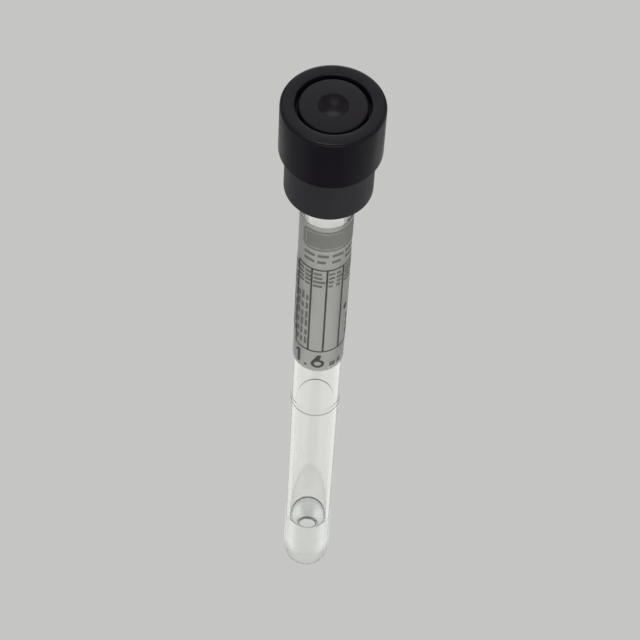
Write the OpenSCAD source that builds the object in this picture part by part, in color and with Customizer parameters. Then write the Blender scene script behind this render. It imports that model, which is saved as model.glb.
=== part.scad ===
// Slim glass tube for drawing blood, evacuated and closed by a pierceable rubber stopper
// in a two-step plastic cap shield, with a film label and a dose of citrate solution inside.
// The closed tube stands on the face of its cap, the one flat end that it has, with its
// round end up. Millimetres. Origin: centre of the cap's face. +Z runs along the tube.

/* [Glass tube] */
// Outside diameter of the glass
tube_d = 8; // [7:0.5:12]
// Length of the glass from its rim to its round end
tube_l = 120; // [90:5:150]
// Thickness of the glass wall
glass_t = 0.8; // [0.6:0.1:1.1]

/* [Rubber stopper] */
// How far the flange reaches past the outside of the glass
flange_reach = 2.2; // [1.5:0.1:3]
// Thickness of the flange on the rim
flange_t = 3.3; // [2.5:0.1:5]
// Depth of the plug in the glass
plug_l = 8; // [7:0.5:12]
// Length of the full-width collar next to the flange
collar_l = 2.4; // [1.5:0.1:3]
// Number of sealing rings past the collar
ring_n = 2; // [1:1:3]
// Roundness of a sealing ring, as a radius
ring_r = 0.7; // [0.5:0.1:0.9]
// How far the sealing rings stand out of the plug
ring_out = 0.3; // [0.2:0.05:0.4]
// Wall left round the hollow in the plug
plug_t = 1.3; // [1:0.1:1.5]
// Rubber that the needle passes through
septum_t = 4; // [3:0.1:5]
// Width of the dimple that guides the needle
dimple_w = 4.4; // [3:0.1:5.5]
// Depth of the dimple
dimple_depth = 0.9; // [0.5:0.1:1.4]
// Width of the open groove between the stopper's face and the shield's lip
groove_w = 0.5; // [0.2:0.05:0.8]
// Radius of the edges of the flange and the face
rubber_edge = 0.3; // [0.2:0.1:0.5]

/* [Cap shield] */
// Wall of the wide head
head_t = 1.3; // [1:0.1:2]
// Height of the wide head
head_h = 9.6; // [8.6:0.2:13]
// Wall of the narrow skirt
skirt_t = 1.25; // [1:0.05:1.6]
// Height of the skirt past the head
skirt_h = 8.5; // [6:0.5:13]
// Thickness of the lip over the stopper
lip_t = 1.4; // [1:0.1:2]
// How far the lip reaches in over the flange
lip_reach = 0.7; // [0.4:0.1:1.1]
// Depth of the stopper's face inside the lip
face_drop = 0.2; // [0:0.05:0.5]
// How far the bead behind the flange stands out of the head's wall
bead_out = 0.5; // [0.3:0.05:0.7]
// Radius of the edge round the cap's face
face_edge = 0.5; // [0.3:0.1:0.9]
// Radius of the other outer edges
step_edge = 0.4; // [0.2:0.1:0.5]
// Number of guide ribs inside the skirt
guide_n = 8; // [4:1:12]
// Depth of a guide rib
guide_h = 1.1; // [0.8:0.1:1.6]
// Thickness of a guide rib
guide_t = 0.9; // [0.6:0.1:1.2]
// Depth of the skirt's mouth before the ribs
mouth_h = 1; // [0.6:0.1:2]
// Slope at the ribs' ends and in the skirt's mouth
lead_in = 0.4; // [0.2:0.1:0.6]

/* [Label] */
// Height of the label along the tube
label_h = 37; // [25:1:50]
// Distance from the skirt to the label
label_gap = 5.2; // [2:0.1:8]
// Part of the way round that the label covers, in degrees
label_wrap = 240; // [180:5:340]
// Thickness of the label's film
film_t = 0.06; // [0.04:0.01:0.12]

/* [Citrate solution] */
// Volume of the solution in millilitres
dose_ml = 0.4; // [0.2:0.05:0.8]
// Angle at which the meniscus meets the glass, in degrees
wet_angle = 35; // [15:5:60]

/* [Fits] */
// Gap between the plug and the bore
plug_gap = 0.05; // [0.02:0.01:0.1]
// Gap between the flange and the rim
seat_gap = 0.05; // [0.02:0.01:0.1]
// Gap between the stopper and the shield
shield_gap = 0.1; // [0.05:0.01:0.2]
// Gap between the guide ribs and the glass
guide_gap = 0.25; // [0.15:0.05:0.4]
// Gap that the solution and the label's glue leave at the glass
skin_gap = 0.01; // [0.005:0.005:0.03]

/* [Hidden] */
$fn = 96;

// Radii, from the glass outwards
tube_r = tube_d / 2;
bore_r = tube_r - glass_t;
plug_r = bore_r - plug_gap;
shank_r = plug_r - ring_out;
hollow_r = shank_r - plug_t;
flange_r = tube_r + flange_reach;
well_r = flange_r + shield_gap;
head_r = well_r + head_t;
hole_r = flange_r - lip_reach;
face_r = hole_r - groove_w;
guide_r = tube_r + guide_gap;
skirt_in_r = guide_r + guide_h;
skirt_r = skirt_in_r + skirt_t;
bowl_r = (pow(dimple_w / 2, 2) + pow(dimple_depth, 2)) / (2 * dimple_depth);

// Heights, from the cap's face up
flange_z = lip_t + shield_gap;
flange_top_z = flange_z + flange_t;
rim_z = flange_top_z + seat_gap;
plug_top_z = rim_z + plug_l;
hollow_z = face_drop + dimple_depth + septum_t;
bead_z = flange_top_z + shield_gap;
well_top_z = head_h - head_t;
skirt_top_z = head_h + skirt_h;
label_z = skirt_top_z + label_gap;
dome_z = rim_z + tube_l - tube_r;

// The dose fills the round end, and its meniscus is the cap of a ball
dose_r = bore_r - skin_gap;
ball_r = dose_r / cos(wet_angle);
ball_rise = ball_r - dose_r * tan(wet_angle);
ball_cap_ml = PI * pow(ball_rise, 2) * (3 * ball_r - ball_rise) / 3000;
dome_ml = 2 / 3 * PI * pow(dose_r, 3) / 1000;
dose_l = 1000 * (dose_ml + ball_cap_ml - dome_ml) / (PI * pow(dose_r, 2));
dose_z = dome_z - dose_l;

// Half section of a drum along the axis, with its two outer corners rounded
module drum_half(r, z0, z1, low, high) {
    translate([0, z0 + low]) square([r, z1 - z0 - low - high]);
    translate([0, z0]) square([r - low, low]);
    translate([0, z1 - high]) square([r - high, high]);
    translate([r - low, z0 + low]) circle(r = low);
    translate([r - high, z1 - high]) circle(r = high);
}

// A rod along the axis from the height given up to the round end
module round_ended(r, from_z) {
    translate([0, 0, from_z]) cylinder(r = r, h = dome_z - from_z);
    translate([0, 0, dome_z]) sphere(r = r);
}

module glass_tube() {
    lip_round = glass_t / 2;
    color("lightcyan", 0.4) {
        difference() {
            round_ended(tube_r, rim_z + lip_round);
            round_ended(bore_r, rim_z);
        }
        translate([0, 0, rim_z + lip_round])
            rotate_extrude()
                translate([tube_r - lip_round, 0])
                    circle(r = lip_round);
    }
}

// The plug's half section: collar, shank, sealing rings and a nose that slopes in
module plug_half() {
    nose_l = ring_out + ring_r;
    ring_z = rim_z + collar_l;
    ring_pitch = (plug_l - collar_l - nose_l) / ring_n;
    translate([0, flange_z]) square([plug_r, ring_z - flange_z]);
    translate([0, flange_z]) square([shank_r, plug_top_z - nose_l - flange_z]);
    polygon([
        [0, plug_top_z - nose_l],
        [shank_r, plug_top_z - nose_l],
        [shank_r - ring_out, plug_top_z],
        [0, plug_top_z]
    ]);
    for (i = [0 : ring_n - 1])
        translate([plug_r - ring_r, ring_z + (i + 0.5) * ring_pitch])
            circle(r = ring_r);
}

module rubber_stopper() {
    hollow_dome_z = hollow_z + hollow_r;
    color("#2a272c")
        difference() {
            union() {
                rotate_extrude()
                    intersection() {
                        plug_half();
                        square([plug_r, plug_top_z]);
                    }
                rotate_extrude()
                    drum_half(flange_r, flange_z, flange_top_z, rubber_edge, rubber_edge);
                rotate_extrude()
                    drum_half(face_r, face_drop, flange_top_z, rubber_edge, rubber_edge);
            }
            translate([0, 0, face_drop + dimple_depth - bowl_r]) sphere(r = bowl_r);
            translate([0, 0, hollow_dome_z]) sphere(r = hollow_r);
            translate([0, 0, hollow_dome_z]) cylinder(r = hollow_r, h = plug_top_z);
        }
}

// Half section of the shield's shell, open through from the lip to the skirt
module shell_half() {
    difference() {
        union() {
            drum_half(head_r, 0, head_h, face_edge, step_edge);
            drum_half(skirt_r, head_h - step_edge - head_t, skirt_top_z, step_edge, step_edge);
        }
        square([hole_r, lip_t]);
        translate([0, lip_t]) square([well_r, well_top_z - lip_t]);
        translate([0, lip_t]) square([skirt_in_r, skirt_top_z - lip_t]);
        polygon([
            [skirt_in_r, skirt_top_z],
            [skirt_in_r + lead_in, skirt_top_z],
            [skirt_in_r, skirt_top_z - lead_in]
        ]);
    }
    polygon([
        [well_r, bead_z],
        [well_r - bead_out, bead_z + bead_out],
        [well_r, bead_z + 2 * bead_out]
    ]);
}

// One rib along the inside of the skirt, which centres the glass
module guide_rib() {
    end_z = skirt_top_z - mouth_h;
    root_r = skirt_in_r + skirt_t / 2;
    rotate([90, 0, 0])
        linear_extrude(guide_t, center = true)
            polygon([
                [guide_r, well_top_z],
                [root_r, well_top_z],
                [root_r, end_z],
                [guide_r + lead_in, end_z],
                [guide_r, end_z - lead_in]
            ]);
}

module cap_shield() {
    color("#1f1c22") {
        rotate_extrude() shell_half();
        for (i = [0 : guide_n - 1])
            rotate([0, 0, i * 360 / guide_n]) guide_rib();
    }
}

module label() {
    color("gainsboro", 0.8)
        rotate([0, 0, -90 - label_wrap / 2])
            rotate_extrude(angle = label_wrap)
                translate([tube_r + skin_gap, label_z])
                    square([film_t, label_h]);
}

module citrate_solution() {
    color("aliceblue", 0.6)
        difference() {
            round_ended(dose_r, dose_z);
            translate([0, 0, dose_z + ball_rise - ball_r]) sphere(r = ball_r);
        }
}

glass_tube();
rubber_stopper();
cap_shield();
label();
citrate_solution();
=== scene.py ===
# %% [markdown]
# # A slim blood collection tube
# The real thing is a drawn glass tube, 8 mm wide and 120 mm long, with a black cap at one
# end and a printed film label below the cap. This lesson dresses the measured solids of that
# tube: it makes smooth glass, black plastic, rubber, film, ink and a little clear liquid.
# The tube is too slim to stand on its round end and would roll if it lay down, so it stands
# on the flat face of its cap. Everything here is in metres, in the frame of the solids.

# %% Load the measured frame
import math

import bmesh
import bpy
from mathutils import Matrix, Vector


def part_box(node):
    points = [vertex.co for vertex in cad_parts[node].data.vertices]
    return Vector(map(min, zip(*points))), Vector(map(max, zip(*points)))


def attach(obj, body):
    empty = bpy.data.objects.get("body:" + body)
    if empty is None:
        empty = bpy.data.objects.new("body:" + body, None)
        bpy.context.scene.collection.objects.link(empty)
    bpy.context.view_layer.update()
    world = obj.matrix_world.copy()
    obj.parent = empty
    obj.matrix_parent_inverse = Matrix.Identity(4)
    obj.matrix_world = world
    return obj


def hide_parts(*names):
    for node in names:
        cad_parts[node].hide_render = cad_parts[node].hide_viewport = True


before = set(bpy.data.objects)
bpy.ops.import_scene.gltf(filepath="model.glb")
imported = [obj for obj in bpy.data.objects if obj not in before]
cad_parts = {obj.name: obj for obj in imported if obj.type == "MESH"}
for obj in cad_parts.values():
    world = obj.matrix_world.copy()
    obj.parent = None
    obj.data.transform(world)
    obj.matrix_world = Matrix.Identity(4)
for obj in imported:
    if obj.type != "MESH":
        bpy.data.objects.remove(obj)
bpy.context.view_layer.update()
MM = 0.001


def corners_mm(node):
    """The lowest and highest corner of a solid, in millimetres."""
    low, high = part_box(node)
    return [round(v / MM, 3) for v in low], [round(v / MM, 3) for v in high]


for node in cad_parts:
    print(node, *corners_mm(node))

# %% [markdown]
# ## Sizes
# Heights are measured from the face of the cap, which is at zero. The outer sizes come from
# the solids' boxes, so that they follow the frame. Walls, gaps and small radii that a box
# can't show are named here.

# %% Sizes of the glass, in millimetres
glass_low, glass_high = corners_mm("glass_tube")
glass_wall = 0.8
tube_r = round(glass_high[0], 2)
bore_r = tube_r - glass_wall
rim_z = round(glass_low[2], 2)
end_z = round(glass_high[2], 2)
dome_z = end_z - tube_r
print("glass", tube_r, "bore", bore_r, "rim", rim_z, "round end", end_z)

# %% Sizes of the shield
shield_high = corners_mm("cap_shield")[1]
lip_wall = 1.4
head_wall = 1.3
skirt_wall = 1.25
guide_gap = 0.25
guide_depth = 1.1
head_r = round(shield_high[0], 2)
well_r = head_r - head_wall
head_top = 9.6
skirt_in_r = tube_r + guide_gap + guide_depth
skirt_r = skirt_in_r + skirt_wall
skirt_top = round(shield_high[2], 2)
print("head", head_r, "to", head_top, "skirt", skirt_r, "to", skirt_top)

# %% Sizes of the stopper
stopper_high = corners_mm("rubber_stopper")[1]
shield_gap = 0.1
seat_gap = 0.05
plug_gap = 0.05
lip_reach = 0.7
groove_w = 0.5
flange_r = round(stopper_high[0], 2)
flange_z = lip_wall + shield_gap
flange_top = rim_z - seat_gap
hole_r = flange_r - lip_reach
face_r = hole_r - groove_w
face_z = 0.2
plug_r = bore_r - plug_gap
plug_top = round(stopper_high[2], 2)
dimple_r = 2.2
dimple_depth = 0.9
print("flange", flange_r, "face", face_r, "plug", round(plug_r, 2), "to", plug_top)

# %% [markdown]
# ## Small helpers
# Colours are written as they look on a screen and turned to linear light by one function.
# One function adds a node with its settings and links, for geometry and for materials alike.

# %% Colour and node helpers
def linear(hex_colour):
    """An sRGB hex colour as linear red, green, blue and an alpha of one."""
    parts = [int(hex_colour[i:i + 2], 16) / 255 for i in (1, 3, 5)]
    return [p / 12.92 if p <= 0.04045 else ((p + 0.055) / 1.055) ** 2.4 for p in parts] + [1.0]


def add(tree, kind, inputs=None, **settings):
    """Adds a node with its settings. Each input is a value, or the socket that feeds it."""
    node = tree.nodes.new(kind)
    for name, value in settings.items():
        setattr(node, name, value)
    for key, value in (inputs or {}).items():
        if isinstance(value, bpy.types.NodeSocket):
            tree.links.new(value, node.inputs[key])
        else:
            node.inputs[key].default_value = value
    return node


print("one step of grey", [round(v, 4) for v in linear("#808080")[:3]])

# %% [markdown]
# ## Materials
# Each one starts from the real substance and the way its surface was made. The numbers that
# are the same all over a surface sit on the shader itself. Patterns are in the object's own
# coordinates, which are metres here, so a scale of 1000 divided by a size in millimetres
# gives a pattern of that size.

# %% Start a material
def start_material(name, sockets):
    """A new material whose one shader takes the values given for its sockets."""
    material = bpy.data.materials.new(name)
    material.use_nodes = True
    tree = material.node_tree
    tree.nodes.clear()
    shader = add(tree, "ShaderNodeBsdfPrincipled", sockets)
    add(tree, "ShaderNodeOutputMaterial", {"Surface": shader.outputs["BSDF"]})
    print("material:", name)
    return material, tree, shader


def grain(tree, size_mm, stretch=(1, 1, 1), detail=2.0, roughness=0.5):
    """Noise whose lumps are about size_mm across, stretched along the axes given."""
    place = add(tree, "ShaderNodeTexCoord")
    turned = add(tree, "ShaderNodeMapping", {"Vector": place.outputs["Object"], "Scale": stretch})
    return add(tree, "ShaderNodeTexNoise", {
        "Vector": turned.outputs["Vector"], "Scale": 1000 / size_mm,
        "Detail": detail, "Roughness": roughness})


# %% [markdown]
# Borosilicate tubing is drawn from the melt, so its skin is fire-bright. What gives it away
# is not colour but how it bends what is behind it, and very faint lines along its length.

# %% Drawn borosilicate glass
drawn_glass, tree, shader = start_material("drawn_borosilicate_glass", sockets={
    "Base Color": linear("#fbfbfa"), "Roughness": 0.01, "IOR": 1.474,
    "Transmission Weight": 1.0})
draw_lines = grain(tree, 1.6, stretch=(1, 1, 0.03), detail=1.0)
bump = add(tree, "ShaderNodeBump", {
    "Height": draw_lines.outputs["Fac"], "Strength": 0.25, "Distance": 0.01 * MM})
tree.links.new(bump.outputs["Normal"], shader.inputs["Normal"])

# %% [markdown]
# The shield is moulded in black polyethylene. Its skin is smooth and half glossy, with a
# shallow waxy unevenness that breaks the edge of each reflection. The tool is polished for the
# head and left satin for the skirt, so the skirt is a shade duller. Its colour is painted
# sheen: the same black, painted a shade lighter on the skirt than on the head.

# %% Moulded black polyethylene
head_tone = linear("#110e15")
# Painted sheen: the skirt is the same black plastic as the head, painted a shade lighter.
skirt_painted_sheen_tone = linear("#29282c")
skirt_extra_roughness = 0.14
tone_change = 0.3
black_shield, tree, shader = start_material("moulded_black_polyethylene", sockets={
    "Base Color": head_tone, "Roughness": 0.34, "IOR": 1.5, "Specular IOR Level": 0.32})
place = add(tree, "ShaderNodeTexCoord")
parts = add(tree, "ShaderNodeSeparateXYZ", {"Vector": place.outputs["Object"]})
on_skirt = add(tree, "ShaderNodeMapRange", {
    "Value": parts.outputs["Z"], "From Min": head_top * MM,
    "From Max": (head_top + tone_change) * MM})
# From the step down, the colour turns to the skirt's lighter painted sheen.
tone = add(tree, "ShaderNodeMix", {
    "Factor": on_skirt.outputs["Result"], "A": head_tone, "B": skirt_painted_sheen_tone}, data_type="RGBA")
tree.links.new(tone.outputs["Result"], shader.inputs["Base Color"])
waxy = grain(tree, 2.4, detail=3.0)
sheen = add(tree, "ShaderNodeMapRange", {
    "Value": waxy.outputs["Fac"], "From Min": 0.3, "From Max": 0.7, "To Min": 0.3, "To Max": 0.38})
duller = add(tree, "ShaderNodeMath", {
    0: on_skirt.outputs["Result"], 1: skirt_extra_roughness, 2: sheen.outputs["Result"]},
    operation="MULTIPLY_ADD")
tree.links.new(duller.outputs[0], shader.inputs["Roughness"])
fine = grain(tree, 0.35, detail=3.0, roughness=0.6)
bump = add(tree, "ShaderNodeBump", {
    "Height": fine.outputs["Fac"], "Strength": 0.18, "Distance": 0.012 * MM})
tree.links.new(bump.outputs["Normal"], shader.inputs["Normal"])

# %% [markdown]
# Bromobutyl rubber comes out of its mould with a soft, slightly dusty skin. It is a warmer
# and duller black than the plastic round it, which is how the eye tells the two apart.

# %% Matt bromobutyl rubber
black_rubber, tree, shader = start_material("matt_bromobutyl_rubber", sockets={
    "Base Color": linear("#120e13"), "Roughness": 0.46, "IOR": 1.52,
    "Specular IOR Level": 0.26})
bloom = grain(tree, 0.9, detail=4.0, roughness=0.6)
tone = add(tree, "ShaderNodeMix", {
    "Factor": bloom.outputs["Fac"], "A": linear("#100c11"), "B": linear("#161117")},
    data_type="RGBA")
tree.links.new(tone.outputs["Result"], shader.inputs["Base Color"])
skin = grain(tree, 0.18, detail=3.0, roughness=0.7)
bump = add(tree, "ShaderNodeBump", {
    "Height": skin.outputs["Fac"], "Strength": 0.3, "Distance": 0.015 * MM})
tree.links.new(bump.outputs["Normal"], shader.inputs["Normal"])

# %% [markdown]
# The label is a clear film with a matt coat that takes the ink. It greys what is behind it a
# little, and it blurs the glass's sharp highlights where it covers them.

# %% Clear matt film
matt_film, tree, shader = start_material("clear_matt_film", sockets={
    "Base Color": linear("#d0d0cd"), "Roughness": 0.28, "IOR": 1.45,
    "Transmission Weight": 0.88})
coat = grain(tree, 0.12, detail=2.0)
bump = add(tree, "ShaderNodeBump", {
    "Height": coat.outputs["Fac"], "Strength": 0.25, "Distance": 0.006 * MM})
tree.links.new(bump.outputs["Normal"], shader.inputs["Normal"])

# %% [markdown]
# The print is screen ink, flat and dry. It lies a little uneven, so its tone varies by a
# shade over about a millimetre. There are four greys: a middle one for the broad field, a
# dark one for the rules and the figure, one a shade lighter than that for the small print,
# whose thin strokes let the film show between them, and a pale one for the fill line.

# %% Grey screen inks
def ink(name, dark, light):
    """A dry ink that wanders between two close tones."""
    material, tree, shader = start_material(name, sockets={
        "Base Color": linear(dark), "Roughness": 0.6, "IOR": 1.45, "Specular IOR Level": 0.3})
    cover = grain(tree, 0.8, detail=4.0, roughness=0.65)
    tone = add(tree, "ShaderNodeMix", {
        "Factor": cover.outputs["Fac"], "A": linear(dark), "B": linear(light)}, data_type="RGBA")
    tree.links.new(tone.outputs["Result"], shader.inputs["Base Color"])
    return material


field_ink = ink("grey_screen_ink", "#6a6a66", "#7b7b76")
line_ink = ink("dark_line_ink", "#3f3f3d", "#4d4d4a")
word_ink = ink("small_print_ink", "#5e5e5b", "#6e6e6a")
ring_ink = ink("pale_ring_ink", "#969793", "#a3a49f")

# %% [markdown]
# The additive is sodium citrate in water: as clear as water, and it bends light as water does.

# %% Citrate solution
citrate, tree, shader = start_material("clear_citrate_solution", sockets={
    "Base Color": linear("#f9fbfb"), "Roughness": 0.0, "IOR": 1.335,
    "Transmission Weight": 1.0})

# %% [markdown]
# ## Turned shapes
# Glass, stopper, shield and liquid are all round about one axis, so one Geometry Nodes tree
# turns a profile into each of them. The profile is a chain of points. A grid has one column
# for each step of the turn and one row for each point, and every grid point looks up its
# profile point and swings it round. That keeps the walls exact, where a screw tool would
# leave the seam and the poles open.

# %% The turning tree
def new_tree(name, inputs):
    """A Geometry Nodes tree with its named inputs. Returns it with its input node."""
    tree = bpy.data.node_groups.new(name, "GeometryNodeTree")
    tree.interface.new_socket("Geometry", in_out="INPUT", socket_type="NodeSocketGeometry")
    for label, kind in inputs.items():
        tree.interface.new_socket(label, in_out="INPUT", socket_type="NodeSocket" + kind)
    tree.interface.new_socket("Geometry", in_out="OUTPUT", socket_type="NodeSocketGeometry")
    return tree, tree.nodes.new("NodeGroupInput").outputs


def end_tree(tree, geometry, material, smooth_below=None):
    """Rounds the shading except across edges sharper than the angle, and sets the material."""
    if smooth_below is not None:
        soft = add(tree, "GeometryNodeSetShadeSmooth", {"Geometry": geometry, "Shade Smooth": True},
                   domain="FACE")
        angle = add(tree, "GeometryNodeInputMeshEdgeAngle")
        sharp = add(tree, "FunctionNodeCompare", {"A": angle.outputs["Unsigned Angle"],
                                                  "B": math.radians(smooth_below)},
                    data_type="FLOAT", operation="GREATER_THAN")
        crisp = add(tree, "GeometryNodeSetShadeSmooth", {
            "Geometry": soft.outputs["Geometry"], "Selection": sharp.outputs["Result"],
            "Shade Smooth": False}, domain="EDGE")
        geometry = crisp.outputs["Geometry"]
    real = add(tree, "GeometryNodeRealizeInstances", {"Geometry": geometry})
    dressed = add(tree, "GeometryNodeSetMaterial", {
        "Geometry": real.outputs["Geometry"], "Material": material})
    add(tree, "NodeGroupOutput", {"Geometry": dressed.outputs["Geometry"]})


weld = 0.001 * MM
turning, given = new_tree("turn_a_profile", {"Steps": "Int", "Material": "Material"})
count = add(turning, "GeometryNodeAttributeDomainSize", {"Geometry": given["Geometry"]},
            component="MESH")
columns = add(turning, "FunctionNodeIntegerMath", {0: given["Steps"], 1: 1}, operation="ADD")
sheet = add(turning, "GeometryNodeMeshGrid", {
    "Size X": 1.0, "Size Y": 1.0, "Vertices X": columns.outputs[0],
    "Vertices Y": count.outputs["Point Count"]})
index = add(turning, "GeometryNodeInputIndex")
step = add(turning, "FunctionNodeIntegerMath", {
    0: index.outputs["Index"], 1: count.outputs["Point Count"]}, operation="DIVIDE_FLOOR")
row = add(turning, "FunctionNodeIntegerMath", {
    0: index.outputs["Index"], 1: count.outputs["Point Count"]}, operation="MODULO")
place = add(turning, "GeometryNodeInputPosition")
looked_up = add(turning, "GeometryNodeSampleIndex", {
    "Geometry": given["Geometry"], "Value": place.outputs["Position"], "Index": row.outputs[0]},
    data_type="FLOAT_VECTOR", domain="POINT")
part_turned = add(turning, "ShaderNodeMath", {0: step.outputs[0], 1: given["Steps"]},
                  operation="DIVIDE")
angle = add(turning, "ShaderNodeMath", {0: part_turned.outputs[0], 1: math.tau},
            operation="MULTIPLY")
swung = add(turning, "ShaderNodeVectorRotate", {
    "Vector": looked_up.outputs["Value"], "Angle": angle.outputs[0]}, rotation_type="Z_AXIS")
moved = add(turning, "GeometryNodeSetPosition", {
    "Geometry": sheet.outputs["Mesh"], "Position": swung.outputs["Vector"]})
closed = add(turning, "GeometryNodeMergeByDistance", {
    "Geometry": moved.outputs["Geometry"], "Distance": weld})
end_tree(turning, closed.outputs["Geometry"], given["Material"], smooth_below=32)
print("turning tree:", len(turning.nodes), "nodes")

# %% [markdown]
# A tree is used through a modifier, whose inputs are known by identifier. The result is then
# turned into a plain mesh, because an exported model can't hold a modifier.

# %% Run a tree and keep its result
def show(data, name):
    """A new object at the origin."""
    shown = bpy.data.objects.new(name, data)
    bpy.context.scene.collection.objects.link(shown)
    return shown


def keep_result(shown):
    """Turns what the object's modifiers make into its own plain mesh."""
    graph = bpy.context.evaluated_depsgraph_get()
    mesh = bpy.data.meshes.new_from_object(shown.evaluated_get(graph), depsgraph=graph)
    shown.modifiers.clear()
    if shown.type == "MESH":
        shown.data = mesh
        return shown
    kept = show(mesh, shown.name + "_mesh")
    bpy.data.objects.remove(shown)
    return kept


def run_tree(shown, tree, thickness=None, **values):
    """Runs a tree with the values given for its named inputs, then keeps the result."""
    modifier = shown.modifiers.new(tree.name, "NODES")
    modifier.node_group = tree
    for socket in tree.interface.items_tree:
        if socket.in_out == "INPUT" and socket.name in values:
            modifier[socket.identifier] = values[socket.name]
    if thickness:
        wall = shown.modifiers.new("wall", "SOLIDIFY")
        wall.thickness = thickness
        wall.offset = 1.0
    keep_result(shown)
    whole = bmesh.new()
    whole.from_mesh(shown.data)
    bmesh.ops.recalc_face_normals(whole, faces=whole.faces)
    whole.to_mesh(shown.data)
    whole.free()
    print(shown.name, len(shown.data.polygons), "faces")
    return shown


def arc(r, z, radius, start, stop, steps=10):
    """Points of an arc about a centre, in degrees from outwards (0) to up (90)."""
    turns = [math.radians(start + (stop - start) * i / steps) for i in range(steps + 1)]
    return [(r + radius * math.cos(t), z + radius * math.sin(t)) for t in turns]


def turned(name, points, material, steps=160):
    """Turns a chain of (radius, height) points in millimetres into a finished mesh.

    A point that is nearer to the one before it than the shortest step is left out.
    """
    shortest = 0.004
    chain = [points[0]]
    for point in points[1:]:
        if math.dist(point, chain[-1]) > shortest:
            chain.append(point)
    mesh = bpy.data.meshes.new(name)
    mesh.from_pydata([(max(r, 0) * MM, 0, z * MM) for r, z in chain],
                     [(i, i + 1) for i in range(len(chain) - 1)], [])
    return run_tree(show(mesh, name), turning, Steps=steps, Material=material)


# %% [markdown]
# ## The glass
# One closed profile goes down the outside, over the fire-polished rim and up the bore. The
# wall gets a ring every few millimetres, so that its long faces stay even.

# %% The glass tube
def wall_line(r, start, stop, pitch=4.0):
    """Evenly spaced points along a straight wall."""
    n = max(1, round(abs(stop - start) / pitch))
    return [(r, start + (stop - start) * i / n) for i in range(n + 1)]


lip_r = glass_wall / 2
glass_profile = (
    arc(0, dome_z, tube_r, 90, 0, steps=28)
    + wall_line(tube_r, dome_z, rim_z + lip_r)
    + arc(tube_r - lip_r, rim_z + lip_r, lip_r, 0, -180, steps=14)
    + wall_line(bore_r, rim_z + lip_r, dome_z)
    + arc(0, dome_z, bore_r, 0, 90, steps=28))
glass = turned("clear_glass_tube", glass_profile, drawn_glass, steps=144)

# %% [markdown]
# ## The shield
# The shield is one moulding in two steps. Its wide head holds the stopper behind a flat lip,
# and its narrower skirt reaches down the glass. Every outside corner has the small radius
# that a mould gives, and the inner corner at the step has a fillet.

# %% The cap shield
face_edge = 0.5
step_edge = 0.4
lip_edge = 0.15
fillet = 0.3
lead_in = 0.4
bead_out = 0.5
bead_low = flange_top + shield_gap
shield_profile = (
    arc(hole_r + lip_edge, lip_edge, lip_edge, 180, 270, steps=5)
    + arc(head_r - face_edge, face_edge, face_edge, -90, 0, steps=10)
    + arc(head_r - step_edge, head_top - step_edge, step_edge, 0, 90, steps=8)
    + arc(skirt_r + fillet, head_top + fillet, fillet, 270, 180, steps=6)
    + arc(skirt_r - step_edge, skirt_top - step_edge, step_edge, 0, 90, steps=8)
    + [(skirt_in_r + lead_in, skirt_top), (skirt_in_r, skirt_top - lead_in)]
    + [(skirt_in_r, head_top - head_wall), (well_r, head_top - head_wall)]
    + [(well_r, bead_low + 2 * bead_out), (well_r - bead_out, bead_low + bead_out)]
    + [(well_r, bead_low), (well_r, lip_wall), (hole_r, lip_wall), (hole_r, lip_edge)])
shield = turned("shield_shell", shield_profile, black_shield, steps=160)

# %% [markdown]
# Eight ribs inside the skirt centre the glass. They are all one rib, placed round the axis
# by a second tree.

# %% The guide ribs
ringing, given = new_tree("place_round_the_axis", {"Count": "Int", "Material": "Material"})
points = add(ringing, "GeometryNodePoints", {"Count": given["Count"]})
index = add(ringing, "GeometryNodeInputIndex")
share = add(ringing, "ShaderNodeMath", {0: index.outputs["Index"], 1: given["Count"]},
            operation="DIVIDE")
angle = add(ringing, "ShaderNodeMath", {0: share.outputs[0], 1: math.tau}, operation="MULTIPLY")
turn = add(ringing, "ShaderNodeCombineXYZ", {"Z": angle.outputs[0]})
placed = add(ringing, "GeometryNodeInstanceOnPoints", {
    "Points": points.outputs["Points"], "Instance": given["Geometry"],
    "Rotation": turn.outputs["Vector"]})
end_tree(ringing, placed.outputs["Instances"], given["Material"])


def one_rib():
    """A rib that stands on the skirt's inside, with a slope at its free end."""
    half = 0.45
    mouth = 1.0
    rounding = 0.06
    guide_r = tube_r + guide_gap
    root_r = skirt_in_r + skirt_wall / 2
    low = head_top - head_wall
    high = skirt_top - mouth
    side = [(guide_r, low), (root_r, low), (root_r, high), (guide_r + lead_in, high),
            (guide_r, high - lead_in)]
    rib = bmesh.new()
    face = rib.faces.new([rib.verts.new((r * MM, -half * MM, z * MM)) for r, z in side])
    far = bmesh.ops.extrude_face_region(rib, geom=[face])["geom"]
    bmesh.ops.translate(rib, vec=(0, 2 * half * MM, 0),
                        verts=[v for v in far if isinstance(v, bmesh.types.BMVert)])
    bmesh.ops.bevel(rib, geom=rib.edges[:], offset=rounding * MM, segments=2, affect="EDGES")
    mesh = bpy.data.meshes.new("guide_ribs")
    rib.to_mesh(mesh)
    rib.free()
    return show(mesh, "guide_ribs")


ribs = run_tree(one_rib(), ringing, Count=8, Material=black_shield)

# %% [markdown]
# ## The stopper
# From outside only its face shows, sunk a hair inside the shield's lip, with a round dimple
# that leads the needle to the middle. The flange and the plug with its two sealing rings are
# behind it, and they show when the glass is pulled off.

# %% The dimple, the plug's rings and its hollow
bowl_r = (dimple_r ** 2 + dimple_depth ** 2) / (2 * dimple_depth)
bowl_z = face_z + dimple_depth - bowl_r
bowl_turn = math.degrees(math.acos(dimple_r / bowl_r))

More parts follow.
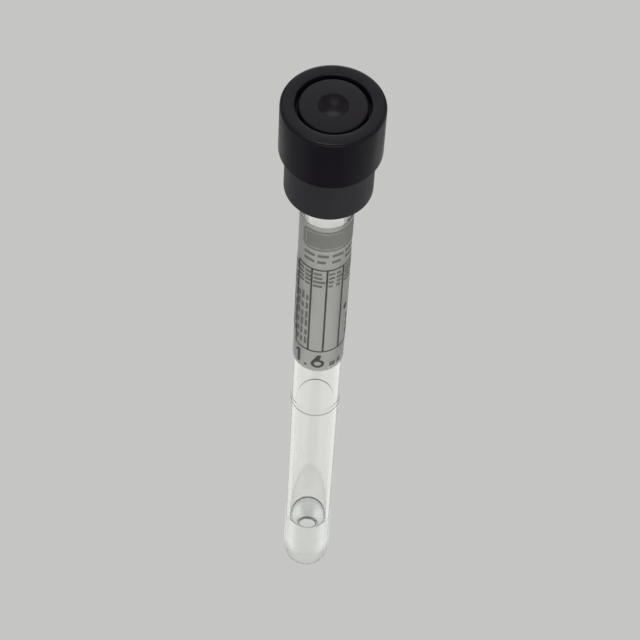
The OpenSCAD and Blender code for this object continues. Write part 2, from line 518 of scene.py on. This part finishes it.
collar_h = 2.4
ring_count = 2
ring_r = 0.7
ring_out = 0.3
shank_r = plug_r - ring_out
collar_z = rim_z + collar_h
nose_z = plug_top - ring_out - ring_r
ring_pitch = (nose_z - collar_z) / ring_count
ring_turn = math.degrees(math.acos((ring_r - ring_out) / ring_r))
rings = []
for i in range(ring_count):
    ring_z = collar_z + (i + 0.5) * ring_pitch
    rings += arc(plug_r - ring_r, ring_z, ring_r, -ring_turn, ring_turn, steps=8)

plug_wall = 1.3
septum = 4
hollow_r = shank_r - plug_wall
hollow_z = face_z + dimple_depth + septum + hollow_r
print("ball of the dimple", round(bowl_r, 2), "ring pitch", round(ring_pitch, 2),
      "hollow", round(hollow_r, 2))

# %% The rubber stopper
edge = 0.3
stopper_profile = (
    arc(0, bowl_z, bowl_r, 90, bowl_turn, steps=14)
    + arc(face_r - edge, face_z + edge, edge, -90, 0, steps=6)
    + [(face_r, flange_z)]
    + arc(flange_r - edge, flange_z + edge, edge, -90, 0, steps=6)
    + arc(flange_r - edge, flange_top - edge, edge, 0, 90, steps=6)
    + [(plug_r, flange_top), (plug_r, collar_z), (shank_r, collar_z)]
    + rings
    + [(shank_r, nose_z), (shank_r - ring_out, plug_top)]
    + [(hollow_r, plug_top), (hollow_r, hollow_z)]
    + arc(0, hollow_z, hollow_r, 0, -90, steps=10))
stopper = turned("stopper", stopper_profile, black_rubber, steps=128)

# %% [markdown]
# ## The liquid
# So small a dose in so narrow a bore stays in the round end whichever way the tube is held.
# It reaches a hair into the glass, so that light goes from glass to liquid without a film
# of air between them.

# %% The citrate solution
into_glass = 0.02
wet_turn = 35
wet_r = bore_r + into_glass
wet_angle = math.radians(wet_turn)
meniscus_edge = round(corners_mm("citrate_solution")[0][2], 2)
ball_r = wet_r / math.cos(wet_angle)
ball_z = meniscus_edge - wet_r * math.tan(wet_angle)
solution_profile = (
    arc(0, ball_z, ball_r, 90, wet_turn, steps=18)
    + wall_line(wet_r, meniscus_edge, dome_z)
    + arc(0, dome_z, wet_r, 0, 90, steps=28))
solution = turned("citrate_dose", solution_profile, citrate, steps=144)

# %% [markdown]
# ## The label
# A label is drawn flat and then wrapped. The artwork here is flat too: across is the way
# round the glass, and up is the distance from the round end. One tree bends any flat piece
# round the tube, so the film and every mark on it share one rule. A flat face can't bend,
# so each piece is first cut into narrow upright strips.

# %% The wrapping tree
wrapping, given = new_tree("wrap_round_the_glass", {
    "Radius": "Float", "Level of the round end": "Float", "Material": "Material"})
place = add(wrapping, "GeometryNodeInputPosition")
flat = add(wrapping, "ShaderNodeSeparateXYZ", {"Vector": place.outputs["Position"]})
angle = add(wrapping, "ShaderNodeMath", {0: flat.outputs["X"], 1: given["Radius"]},
            operation="DIVIDE")
half_turn = add(wrapping, "ShaderNodeMath", {0: angle.outputs[0], 1: math.pi}, operation="ADD")
sine = add(wrapping, "ShaderNodeMath", {0: half_turn.outputs[0]}, operation="SINE")
cosine = add(wrapping, "ShaderNodeMath", {0: half_turn.outputs[0]}, operation="COSINE")
across = add(wrapping, "ShaderNodeMath", {0: sine.outputs[0], 1: given["Radius"]},
             operation="MULTIPLY")
back = add(wrapping, "ShaderNodeMath", {0: cosine.outputs[0], 1: given["Radius"]},
           operation="MULTIPLY")
level = add(wrapping, "ShaderNodeMath", {
    0: given["Level of the round end"], 1: flat.outputs["Y"]}, operation="SUBTRACT")
wrapped = add(wrapping, "ShaderNodeCombineXYZ", {
    "X": across.outputs[0], "Y": back.outputs[0], "Z": level.outputs[0]})
bent = add(wrapping, "GeometryNodeSetPosition", {
    "Geometry": given["Geometry"], "Position": wrapped.outputs["Vector"]})
end_tree(wrapping, bent.outputs["Geometry"], given["Material"], smooth_below=40)
print("wrapping tree:", len(wrapping.nodes), "nodes")

# %% [markdown]
# The artwork is made of a few kinds of outline, filled by a flat curve and turned into a mesh.
# The film lies a hair off the glass, and the ink lies a hair off the film, so that no two
# faces fill the same place. A distance round the glass is easiest to think of in degrees from
# the middle of the label.

# %% Sizes and helpers for flat artwork
film_wall = 0.06
ink_wall = 0.02
glue_gap = 0.01
ink_gap = 0.004
film_r = tube_r + glue_gap
ink_r = film_r + film_wall + ink_gap
film_low, film_high = corners_mm("label")
film_bottom = end_z - film_high[2]
film_top = end_z - film_low[2]
print("film from", round(film_bottom, 2), "to", round(film_top, 2), "mm from the round end")


def around(degrees, radius=ink_r):
    """The distance across the flat artwork that reaches this far round the glass."""
    return math.radians(degrees) * radius


def rounded_box(left, right, low, high, radius):
    """The outline of a box with rounded corners."""
    outline = []
    for x, y, start in ((right - radius, high - radius, 0), (left + radius, high - radius, 90),
                        (left + radius, low + radius, 180), (right - radius, low + radius, 270)):
        outline += arc(x, y, radius, start, start + 90, steps=6) if radius else [(x, y)]
    return outline


def flat_shape(name, *outlines):
    """A filled flat mesh. An outline inside another is a hole."""
    curve = bpy.data.curves.new(name, "CURVE")
    curve.dimensions = "2D"
    curve.fill_mode = "BOTH"
    for outline in outlines:
        line = curve.splines.new("POLY")
        line.points.add(len(outline) - 1)
        for point, (x, y) in zip(line.points, outline):
            point.co = (x * MM, y * MM, 0, 1)
        line.use_cyclic_u = True
    return keep_result(show(curve, name))


def joined(name, shapes):
    """Joins flat meshes into one object."""
    whole = bmesh.new()
    for shape in shapes:
        whole.from_mesh(shape.data)
        bpy.data.objects.remove(shape)
    mesh = bpy.data.meshes.new(name)
    whole.to_mesh(mesh)
    whole.free()
    return show(mesh, name)


def wrap(shape, material, radius=ink_r, wall=ink_wall, strip=0.2):
    """Cuts a flat mesh into strips, bends it round the glass and gives it its thickness."""
    flat_mesh = bmesh.new()
    flat_mesh.from_mesh(shape.data)
    bmesh.ops.remove_doubles(flat_mesh, verts=flat_mesh.verts, dist=0.0005 * MM)
    for face in flat_mesh.faces:
        if face.normal.z < 0:
            face.normal_flip()
    xs = [v.co.x for v in flat_mesh.verts]
    x = math.ceil(min(xs) / (strip * MM)) * strip * MM
    while x < max(xs):
        everything = flat_mesh.verts[:] + flat_mesh.edges[:] + flat_mesh.faces[:]
        bmesh.ops.bisect_plane(flat_mesh, geom=everything, dist=1e-8, plane_co=(x, 0, 0),
                               plane_no=(1, 0, 0))
        x += strip * MM
    flat_mesh.to_mesh(shape.data)
    flat_mesh.free()
    values = {"Radius": radius * MM, "Level of the round end": end_z * MM, "Material": material}
    return run_tree(shape, wrapping, thickness=wall * MM, **values)


# %% [markdown]
# The film itself covers two thirds of the way round, which leaves bare glass at the back to
# look in through. Its corners are cut round, as on a roll of die-cut labels.

# %% The film
film_corner = 1.0
half_wrap = around(120, film_r)
film_outline = rounded_box(-half_wrap, half_wrap, film_bottom, film_top, film_corner)
film = wrap(flat_shape("label_film", film_outline), matt_film, radius=film_r, wall=film_wall)

# %% [markdown]
# The print is kept plain: a grey field, a ruled table for the patient's data, one figure for
# the volume, and bars where small print would be. The field has a thin clear line inside its
# edge, which is left open so that the film shows through.

# %% The grey field
field_left = around(-52)
field_right = around(98)
field_low = 95.9
field_high = 100.6


def field_box(across, up, corner):
    """The field's outline, drawn in from its edges by the distances given."""
    return rounded_box(field_left + across, field_right - across,
                       field_low + up, field_high - up, corner)


field_outlines = [field_box(0, 0, 1.1), field_box(0.5, 0.45, 0.75), field_box(0.72, 0.67, 0.55)]
field = wrap(flat_shape("print_field", *field_outlines), field_ink)

# %% [markdown]
# The table is a frame with three upright rules. It is straight when it is flat, so it is made
# of plain boxes that overlap at the corners.

# %% The ruled table
def rule(left, right, low, high):
    """A straight line of the table."""
    return flat_shape("rule", rounded_box(left, right, low, high, 0))


column_turns = (-62, -24, 10, 48, 86)
table_left = around(column_turns[0])
table_right = around(column_turns[-1])
table_low = 69.9
table_high = 91.2
rule_w = 0.3
rules = [rule(around(t) - rule_w / 2, around(t) + rule_w / 2, table_low, table_high)
         for t in column_turns]
rules += [rule(table_left, table_right, z - rule_w / 2, z + rule_w / 2)
          for z in (table_low, table_high)]
table = wrap(joined("print_table", rules), line_ink)

# %% [markdown]
# The volume that the tube takes is the one figure that a user looks for, so it is drawn as
# real numerals. They are plain shapes of one stroke width, sized from their height. A small
# diamond stands in for a symbol in the table.

# %% The volume figure
def numeral_one(x, z, tall, stroke):
    """The outline of a 1: a stem with a short flag."""
    right = x + 0.3 * tall
    left = right - stroke
    top = z + tall
    flag_z = top - 0.2 * tall
    return [(left, z), (right, z), (right, top), (left, top), (x, flag_z),
            (x, flag_z - 1.1 * stroke), (left, top - 1.2 * stroke)]


def numeral_six(x, z, tall, stroke):
    """The outlines of a 6: a slanted stroke that runs into a round bowl, and its hole."""
    bowl = 0.32 * tall
    middle = (x + bowl, z + bowl)
    tail_x = x + 0.3 * tall
    tail = [(tail_x, z + tall), (tail_x + 1.25 * stroke, z + tall)]
    hole = arc(*middle, bowl - stroke, 0, 345, steps=23)
    return [tail + arc(*middle, bowl, 72, -210, steps=28), hole]


figure_left = around(-58)
figure_low = 65.5
figure_tall = 3.4
figure_stroke = 0.5
dot_r = figure_stroke / 2
dot_x = figure_left + 0.62 * figure_tall
six_x = dot_x + 0.28 * figure_tall
figure_outlines = [
    numeral_one(figure_left, figure_low, figure_tall, figure_stroke),
    arc(dot_x, figure_low + dot_r, dot_r, 0, 330, steps=11),
    *numeral_six(six_x, figure_low, figure_tall, figure_stroke)]
volume_figure = wrap(flat_shape("print_figure", *figure_outlines), line_ink)

# %% The diamond
diamond_x = around(66)
diamond_z = 79.5
half_wide = 0.55
half_tall = 0.9
diamond = wrap(flat_shape("print_diamond", [
    (diamond_x, diamond_z - half_tall), (diamond_x - half_wide, diamond_z),
    (diamond_x, diamond_z + half_tall), (diamond_x + half_wide, diamond_z)]), line_ink)

# %% [markdown]
# Small print is shown as bars, one for each word, in rows. A third tree sets the bars out:
# each word takes a share of its slot that a seed decides, and the whole block can be turned
# to run along the tube. The wrapping tree then works inside it as one node, and it is that
# tree's last nodes that make the bars real and ink them.

# %% The small print tree
typing, given = new_tree("rows_of_bars", {
    "Rows": "Int", "Words": "Int", "Slot": "Float", "Pitch": "Float", "Bar": "Float",
    "Left": "Float", "Top": "Float", "Turn": "Float", "Seed": "Int",
    "Radius": "Float", "Level of the round end": "Float", "Material": "Material"})
number = add(typing, "FunctionNodeIntegerMath", {0: given["Rows"], 1: given["Words"]},
             operation="MULTIPLY")
points = add(typing, "GeometryNodePoints", {"Count": number.outputs[0]})
index = add(typing, "GeometryNodeInputIndex")
row = add(typing, "FunctionNodeIntegerMath", {0: index.outputs["Index"], 1: given["Words"]},
          operation="DIVIDE_FLOOR")
word = add(typing, "FunctionNodeIntegerMath", {0: index.outputs["Index"], 1: given["Words"]},
           operation="MODULO")
length = add(typing, "FunctionNodeRandomValue", {
    "Min": 0.5, "Max": 0.86, "ID": index.outputs["Index"], "Seed": given["Seed"]},
    data_type="FLOAT")
wide = add(typing, "ShaderNodeMath", {0: length.outputs["Value"], 1: given["Slot"]},
           operation="MULTIPLY")
size = add(typing, "ShaderNodeCombineXYZ", {"X": wide.outputs[0], "Y": given["Bar"], "Z": 1.0})
along = add(typing, "ShaderNodeMath", {0: word.outputs[0], 1: given["Slot"]},
            operation="MULTIPLY")
down = add(typing, "ShaderNodeMath", {0: row.outputs[0], 1: given["Pitch"]},
           operation="MULTIPLY")
down_page = add(typing, "ShaderNodeMath", {0: down.outputs[0], 1: -1.0}, operation="MULTIPLY")
spot = add(typing, "ShaderNodeCombineXYZ", {"X": along.outputs[0], "Y": down_page.outputs[0]})
spread = add(typing, "GeometryNodeSetPosition", {
    "Geometry": points.outputs["Points"], "Position": spot.outputs["Vector"]})
bar = add(typing, "GeometryNodeMeshGrid", {
    "Size X": 1.0, "Size Y": 1.0, "Vertices X": 7, "Vertices Y": 7})
from_left = add(typing, "GeometryNodeTransform", {
    "Geometry": bar.outputs["Mesh"], "Translation": (0.5, -0.5, 0)})
set_out = add(typing, "GeometryNodeInstanceOnPoints", {
    "Points": spread.outputs["Geometry"], "Instance": from_left.outputs["Geometry"],
    "Scale": size.outputs["Vector"]})
real = add(typing, "GeometryNodeRealizeInstances", {"Geometry": set_out.outputs["Instances"]})
turn = add(typing, "ShaderNodeCombineXYZ", {"Z": given["Turn"]})
corner = add(typing, "ShaderNodeCombineXYZ", {"X": given["Left"], "Y": given["Top"]})
page = add(typing, "GeometryNodeTransform", {
    "Geometry": real.outputs["Geometry"], "Translation": corner.outputs["Vector"],
    "Rotation": turn.outputs["Vector"]})
bend = add(typing, "GeometryNodeGroup", {}, node_tree=wrapping)
for key, value in {"Geometry": page.outputs["Geometry"], "Radius": given["Radius"],
                   "Level of the round end": given["Level of the round end"],
                   "Material": given["Material"]}.items():
    typing.links.new(value, bend.inputs[key])
add(typing, "NodeGroupOutput", {"Geometry": bend.outputs["Geometry"]})
print("small print tree:", len(typing.nodes), "nodes")

# %% [markdown]
# Each block says how many rows and words it has, how wide a word's slot is, how far apart the
# rows are and how tall a bar is. A turn of 90 degrees makes the rows run along the tube. The
# last two blocks are on the sides of the label, towards its back.

# %% Set out the small print
def small_print(name, rows, words, slot, pitch, bar, left, top, seed, turn=0):
    """A block of bars. Sizes are in millimetres, and left is in degrees round the glass."""
    blank = bpy.data.meshes.new(name)
    values = {
        "Rows": rows, "Words": words, "Slot": slot * MM, "Pitch": pitch * MM, "Bar": bar * MM,
        "Left": around(left) * MM, "Top": top * MM, "Turn": math.radians(turn), "Seed": seed,
        "Radius": ink_r * MM, "Level of the round end": end_z * MM, "Material": word_ink}
    return run_tree(show(blank, name), typing, thickness=ink_wall * MM, **values)


print_blocks = [
    small_print("print_lines", rows=2, words=4, slot=2.3, pitch=1.5, bar=0.6,
                left=-46, top=95.0, seed=3),
    small_print("print_unit", rows=1, words=2, slot=1.4, pitch=1.0, bar=1.1,
                left=28, top=66.6, seed=4),
    small_print("print_head_a", rows=4, words=2, slot=1.3, pitch=1.0, bar=0.5,
                left=-58, top=90.4, seed=5),
    small_print("print_head_b", rows=4, words=1, slot=2.2, pitch=1.0, bar=0.5,
                left=-20, top=90.4, seed=8),
    small_print("print_head_c", rows=4, words=2, slot=1.25, pitch=1.0, bar=0.5,
                left=14, top=90.4, seed=13),
    small_print("print_head_d", rows=4, words=1, slot=2.6, pitch=1.0, bar=0.5,
                left=53, top=90.4, seed=21),
    small_print("print_column_a", rows=3, words=6, slot=2.3, pitch=0.82, bar=0.42,
                left=-58, top=71.2, seed=34, turn=90),
    small_print("print_column_b", rows=1, words=3, slot=2.0, pitch=0.8, bar=0.6,
                left=73, top=71.4, seed=55, turn=90),
    small_print("print_back_a", rows=2, words=8, slot=2.4, pitch=0.9, bar=0.42,
                left=94, top=72.0, seed=89, turn=90),
    small_print("print_back_b", rows=3, words=8, slot=2.3, pitch=0.9, bar=0.42,
                left=-96, top=72.5, seed=144, turn=90),
]

# %% [markdown]
# The fill line is not on the label. It is a thin ring of ink on the bare glass, at the level
# that the blood and the additive should reach together.

# %% The fill line
fill_level = 51.6
line_w = 0.3
line_low = end_z - fill_level - line_w / 2
line_high = end_z - fill_level + line_w / 2
line_in_r = tube_r + ink_gap
line_out_r = tube_r + ink_gap + ink_wall
fill_line = turned("print_fill_line", [
    (line_in_r, line_low), (line_out_r, line_low), (line_out_r, line_high),
    (line_in_r, line_high), (line_in_r, line_low)], ring_ink, steps=144)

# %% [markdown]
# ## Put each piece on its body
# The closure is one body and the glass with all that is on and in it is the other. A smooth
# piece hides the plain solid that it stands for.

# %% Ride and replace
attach(shield, "closure")
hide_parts("cap_shield")
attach(ribs, "closure")
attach(stopper, "closure")
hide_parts("rubber_stopper")
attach(glass, "tube")
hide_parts("glass_tube")
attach(solution, "tube")
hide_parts("citrate_solution")
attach(film, "tube")
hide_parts("label")
smooth_pieces = [shield, ribs, stopper, glass, solution, film]
marks = [field, table, volume_figure, diamond, fill_line] + print_blocks
for mark in marks:
    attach(mark, "tube")
print("pieces placed:", len(smooth_pieces) + len(marks))

# %% [markdown]
# ## The camera
# The tube is best known with its cap on top, looked at from above the cap. It stands on that
# cap here, so the camera is turned over with it: it looks at the cap's face from below the
# floor, which is clear from that side. It stands about 0.4 m away, near enough for the tube
# to grow smaller towards its far end, and it is rolled a few degrees, so that the tube leans.

# %% The camera
def look_from(place_mm, aim_mm, roll, lens):
    """A camera at a place, aimed at a point, with the cap's side up in its picture."""
    cap_side = Vector((0, 0, -1))
    ahead = (Vector(aim_mm) - Vector(place_mm)).normalized()
    level_up = (cap_side - ahead * ahead.dot(cap_side)).normalized()
    level_right = ahead.cross(level_up)
    a = math.radians(roll)
    up = level_up * math.cos(a) - level_right * math.sin(a)
    right = level_right * math.cos(a) + level_up * math.sin(a)
    data = bpy.data.cameras.new("camera")
    data.lens = lens
    data.sensor_width = 36.0
    data.clip_start = 0.01
    data.clip_end = 10.0
    shown = show(data, "camera")
    turn = Matrix((right, up, -ahead)).transposed().to_4x4()
    shown.matrix_world = Matrix.Translation(Vector(place_mm) * MM) @ turn
    bpy.context.scene.camera = shown
    return shown


camera = look_from((0, -225, -262), (0, 0, 52), roll=3.6, lens=138)
print("camera at", [round(v, 3) for v in camera.location])

# %% [markdown]
# ## Floor, light and backdrop
# The floor is a pale disc of matt paper, which takes the tube's shadow. Towards its rim it
# takes on the backdrop's own tone, so that no edge shows. It is seen from above only, and it
# casts no shadow of its own, so the lower lamps light the cap's face through it.

# %% The floor
floor_material = bpy.data.materials.new("pale_floor")
floor_material.use_nodes = True
tree = floor_material.node_tree
tree.nodes.clear()
backdrop_tone = linear("#c5c6c3")
paper = add(tree, "ShaderNodeBsdfDiffuse", {"Color": linear("#c8c8c5")})
clear = add(tree, "ShaderNodeBsdfTransparent")
rim = add(tree, "ShaderNodeEmission", {"Color": backdrop_tone})
ray = add(tree, "ShaderNodeLightPath")
beyond = add(tree, "ShaderNodeMixShader", {
    "Fac": ray.outputs["Is Camera Ray"], 1: clear.outputs["BSDF"], 2: rim.outputs["Emission"]})
place = add(tree, "ShaderNodeTexCoord")
far = add(tree, "ShaderNodeVectorMath", {0: place.outputs["Object"]}, operation="LENGTH")
fade = add(tree, "ShaderNodeMapRange", {
    "Value": far.outputs["Value"], "From Min": 0.10, "From Max": 0.28},
    interpolation_type="SMOOTHSTEP")
top = add(tree, "ShaderNodeMixShader", {
    "Fac": fade.outputs["Result"], 1: paper.outputs["BSDF"], 2: beyond.outputs["Shader"]})
side = add(tree, "ShaderNodeNewGeometry")
mixed = add(tree, "ShaderNodeMixShader", {
    "Fac": side.outputs["Backfacing"], 1: top.outputs["Shader"], 2: clear.outputs["BSDF"]})
add(tree, "ShaderNodeOutputMaterial", {"Surface": mixed.outputs["Shader"]})

floor_r = 0.3
floor_drop = 0.0001
disc = bmesh.new()
bmesh.ops.create_circle(disc, cap_ends=True, segments=96, radius=floor_r)
floor_mesh = bpy.data.meshes.new("floor")
disc.to_mesh(floor_mesh)
disc.free()
floor_mesh.transform(Matrix.Translation((0, 0, -floor_drop)))
floor_mesh.materials.append(floor_material)
floor = show(floor_mesh, "floor")
floor.visible_shadow = False
floor.visible_diffuse = False
floor.visible_glossy = False
print("floor", round(2 * floor_r, 2), "m across")

# %% [markdown]
# Soft lamps stand on both sides of the floor, so that the part is lit as plainly from above
# as from the cap's side. The wide ones only light: they are left out of reflections, which
# keeps the black cap black. The small ones are there for their reflections. One glints low in
# the dimple, and it is set below the floor's level and kept from the camera. Two tall strips
# draw a fine light line down each side of the glass.

# %% Lamps on both sides of the floor
def softbox(name, place_mm, aim_mm, size_mm, watts, shows=True):
    """A rectangular lamp aimed at a point. One that doesn't show is left out of reflections."""
    lamp = bpy.data.lights.new(name, "AREA")
    lamp.shape = "RECTANGLE"
    lamp.size = size_mm[0] * MM
    lamp.size_y = size_mm[1] * MM
    lamp.energy = watts
    shown = show(lamp, name)
    shown.location = Vector(place_mm) * MM
    ahead = Vector(aim_mm) - Vector(place_mm)
    shown.rotation_mode = "QUATERNION"
    shown.rotation_quaternion = ahead.to_track_quat("-Z", "Y")
    shown.visible_glossy = shows
    shown.visible_transmission = False
    return shown


middle = (0, 0, 60)
skirt_end = (0, 0, 20)
cap_face = (0, 0, 0)
softbox("key_above", (-560, -760, 820), middle, (1100, 1100), watts=6.4, shows=False)
softbox("fill_above", (900, -280, 620), middle, (1000, 1000), watts=4.2, shows=False)
softbox("back_above", (280, 900, 680), middle, (900, 900), watts=3.4, shows=False)
softbox("key_below", (-420, -620, -680), skirt_end, (1000, 1000), watts=4.0, shows=False)
softbox("face_sheen", (40, 620, -700), cap_face, (620, 620), watts=0.45)
softbox("under_face", (60, -40, -800), cap_face, (300, 300), watts=1.2)
card = softbox("back_card", (0, 700, -240), (0, 0, -240), (460, 360), watts=1.45)
card.visible_diffuse = False
card.visible_camera = False
softbox("front_edge", (0, -760, -160), cap_face, (700, 240), watts=0.8)
for name, x, y, width, watts in (
        ("strip_left", -500, 330, 150, 0.47), ("strip_right", 470, 380, 120, 0.43)):
    strip = softbox(name, (x, y, 600), (0, 0, 600), (width, 2400), watts)
    strip.visible_diffuse = False

# %% [markdown]
# The world is a studio that each kind of ray sees in its own way. The camera sees one plain
# pale tone. Seen through glass it is a shade paler, and brighter high up at the sides: the
# edge of a glass tube bends its rays that way, so its edges shine. Mirrored, it is dark, with
# one pale panel high at the back, which gives the black pieces a single soft sheen. As plain
# light it is even and dim, and it fills the shadows.

# %% The backdrop
edge_shine = 0.45
panel_way = (0, 0.56, 0.83)
world = bpy.data.worlds.new("pale_backdrop")
bpy.context.scene.world = world
world.use_nodes = True
tree = world.node_tree
tree.nodes.clear()
ray = add(tree, "ShaderNodeLightPath")
seen = add(tree, "ShaderNodeBackground", {"Color": backdrop_tone, "Strength": 1.0})
place = add(tree, "ShaderNodeTexCoord")
parts = add(tree, "ShaderNodeSeparateXYZ", {"Vector": place.outputs["Generated"]})
sideways = add(tree, "ShaderNodeMath", {0: parts.outputs["X"]}, operation="ABSOLUTE")
shade = add(tree, "ShaderNodeMapRange", {
    "Value": sideways.outputs[0], "From Min": 0.25, "From Max": 0.9},
    interpolation_type="SMOOTHSTEP")
tone = add(tree, "ShaderNodeMix", {
    "Factor": shade.outputs["Result"], "A": linear("#dedfdc"), "B": linear("#d2d3d0")},
    data_type="RGBA")
off_middle = add(tree, "ShaderNodeMapRange", {
    "Value": sideways.outputs[0], "From Min": 0.16, "From Max": 0.42},
    interpolation_type="SMOOTHSTEP")
overhead = add(tree, "ShaderNodeMapRange", {
    "Value": parts.outputs["Z"], "From Min": 0.5, "From Max": 0.75},
    interpolation_type="SMOOTHSTEP")
high_sides = add(tree, "ShaderNodeMath", {
    0: off_middle.outputs["Result"], 1: overhead.outputs["Result"]}, operation="MULTIPLY")
brightness = add(tree, "ShaderNodeMath", {
    0: high_sides.outputs[0], 1: edge_shine, 2: 1.0}, operation="MULTIPLY_ADD")
through = add(tree, "ShaderNodeBackground", {
    "Color": tone.outputs["Result"], "Strength": brightness.outputs[0]})
wings = add(tree, "ShaderNodeMix", {
    "Factor": shade.outputs["Result"], "A": linear("#4a4a4b"), "B": linear("#8e8f8c")},
    data_type="RGBA")
towards = add(tree, "ShaderNodeVectorMath", {
    0: place.outputs["Generated"], 1: panel_way}, operation="DOT_PRODUCT")
high_back = add(tree, "ShaderNodeMapRange", {
    "Value": towards.outputs["Value"], "From Min": 0.9, "From Max": 0.98},
    interpolation_type="SMOOTHSTEP")
panel = add(tree, "ShaderNodeMix", {
    "Factor": high_back.outputs["Result"], "A": wings.outputs["Result"],
    "B": linear("#d4d5d2")}, data_type="RGBA")
mirrored = add(tree, "ShaderNodeBackground", {"Color": panel.outputs["Result"], "Strength": 1.0})
soft = add(tree, "ShaderNodeBackground", {"Color": linear("#f4f4f2"), "Strength": 0.55})
shine = add(tree, "ShaderNodeMixShader", {
    "Fac": ray.outputs["Is Glossy Ray"], 1: soft.outputs["Background"],
    2: mirrored.outputs["Background"]})
clear = add(tree, "ShaderNodeMixShader", {
    "Fac": ray.outputs["Is Transmission Ray"], 1: shine.outputs["Shader"],
    2: through.outputs["Background"]})
last = add(tree, "ShaderNodeMixShader", {
    "Fac": ray.outputs["Is Camera Ray"], 1: clear.outputs["Shader"], 2: seen.outputs["Background"]})
add(tree, "ShaderNodeOutputWorld", {"Surface": last.outputs["Shader"]})
bpy.context.scene.view_settings.view_transform = "Standard"
print("backdrop:", len(tree.nodes), "nodes")
